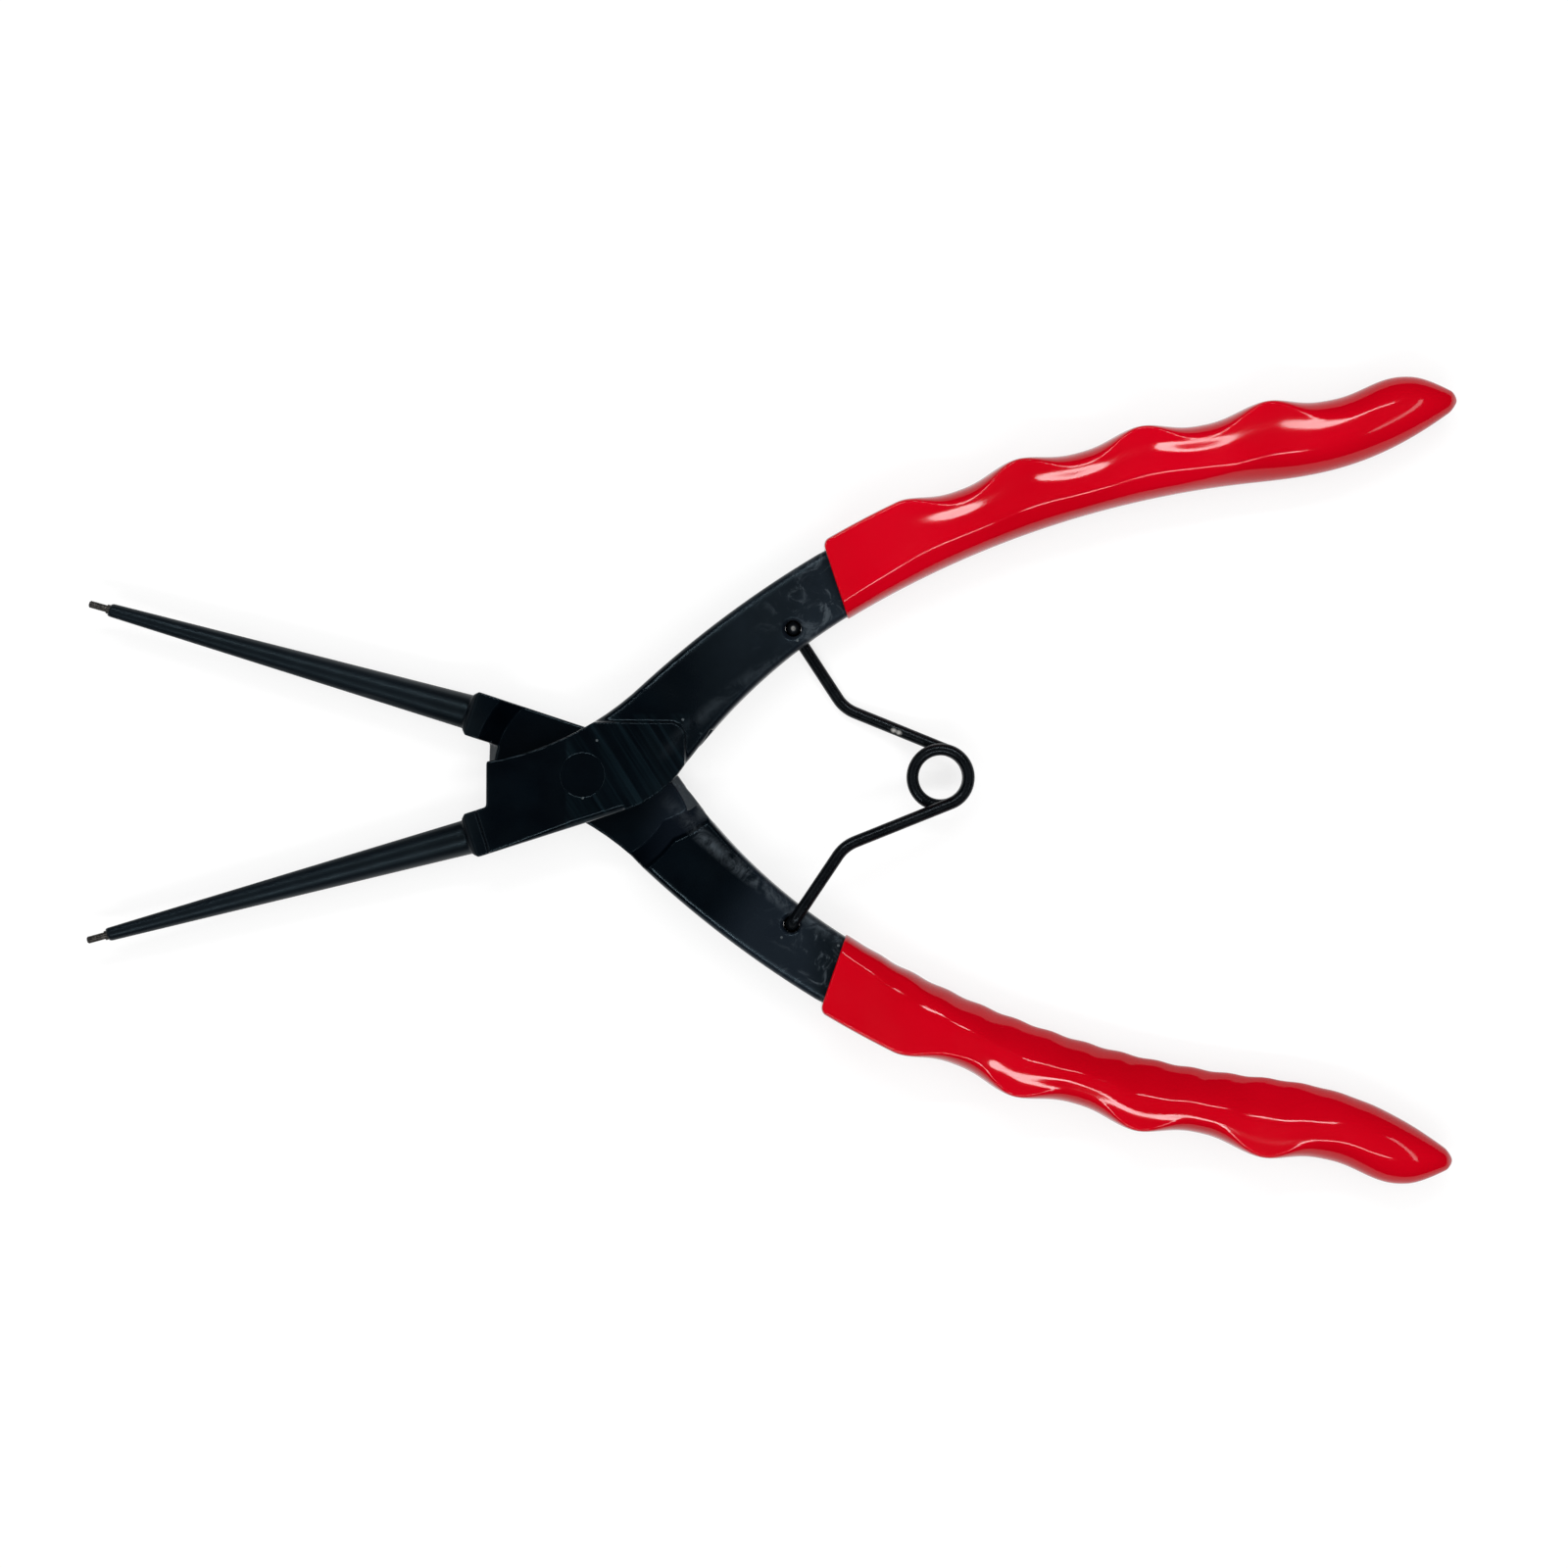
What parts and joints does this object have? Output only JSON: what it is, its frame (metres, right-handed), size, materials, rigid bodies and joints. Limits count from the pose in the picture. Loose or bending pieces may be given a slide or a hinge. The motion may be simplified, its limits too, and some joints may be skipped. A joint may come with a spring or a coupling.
{
  "type": "circlip pliers",
  "caption": "Internal circlip pliers: crossed half-lap levers on a flush rivet with needle jaws, pinned tips, a coiled wire return spring and finger-grooved vinyl grips.",
  "frame": {"origin": "on the rivet's axis, in the rear joint face that the pliers lie on", "axes": "+X along the pliers from the pivot towards the handles, +Y towards the front lever's handle, +Z along the rivet's axis out of the front face"},
  "size_m": [0.2302, 0.136, 0.0124],
  "materials": {
    "black_steel": "blacked forged steel, oiled, with a ground joint face",
    "spring_wire": "black spring wire, worn bright where it rubs",
    "red_vinyl": "glossy dipped vinyl",
    "tip_steel": "hardened grey steel"
  },
  "bodies": {
    "pivot": {"pivot_rivet": "black_steel"},
    "front": {"front_lever": "black_steel", "front_grip": "red_vinyl", "front_tip_pin": "tip_steel"},
    "rear": {"rear_lever": "black_steel", "rear_grip": "red_vinyl", "rear_tip_pin": "tip_steel"},
    "front_spring": {"front_spring_half": "spring_wire"},
    "rear_spring": {"rear_spring_half": "spring_wire"}
  },
  "joints": [
    {"name": "front_turn", "type": "hinge", "parent": "pivot", "child": "front", "pos_m": [0, 0, 0.0062], "axis": [0, 0, 1], "range_deg": [-18, 0], "stiffness_Nm_per_rad": 4},
    {"name": "rear_turn", "type": "hinge", "parent": "pivot", "child": "rear", "pos_m": [0, 0, 0.0062], "axis": [0, 0, 1], "range_deg": [0, 18], "stiffness_Nm_per_rad": 4},
    {"name": "front_spring_turn", "type": "hinge", "parent": "front", "child": "front_spring", "pos_m": [0.03508, 0.02479, 0.0062], "axis": [0, 0, 1], "range_deg": [0, 41.6]},
    {"name": "rear_spring_turn", "type": "hinge", "parent": "rear", "child": "rear_spring", "pos_m": [0.03508, -0.02479, 0.0062], "axis": [0, 0, 1], "range_deg": [-41.6, 0]}
  ],
  "couplings": [
    {"joint": "rear_turn", "follows": "front_turn", "ratio": -1},
    {"joint": "front_spring_turn", "follows": "front_turn", "ratio": -2.3111},
    {"joint": "rear_spring_turn", "follows": "front_turn", "ratio": 2.3111}
  ]
}
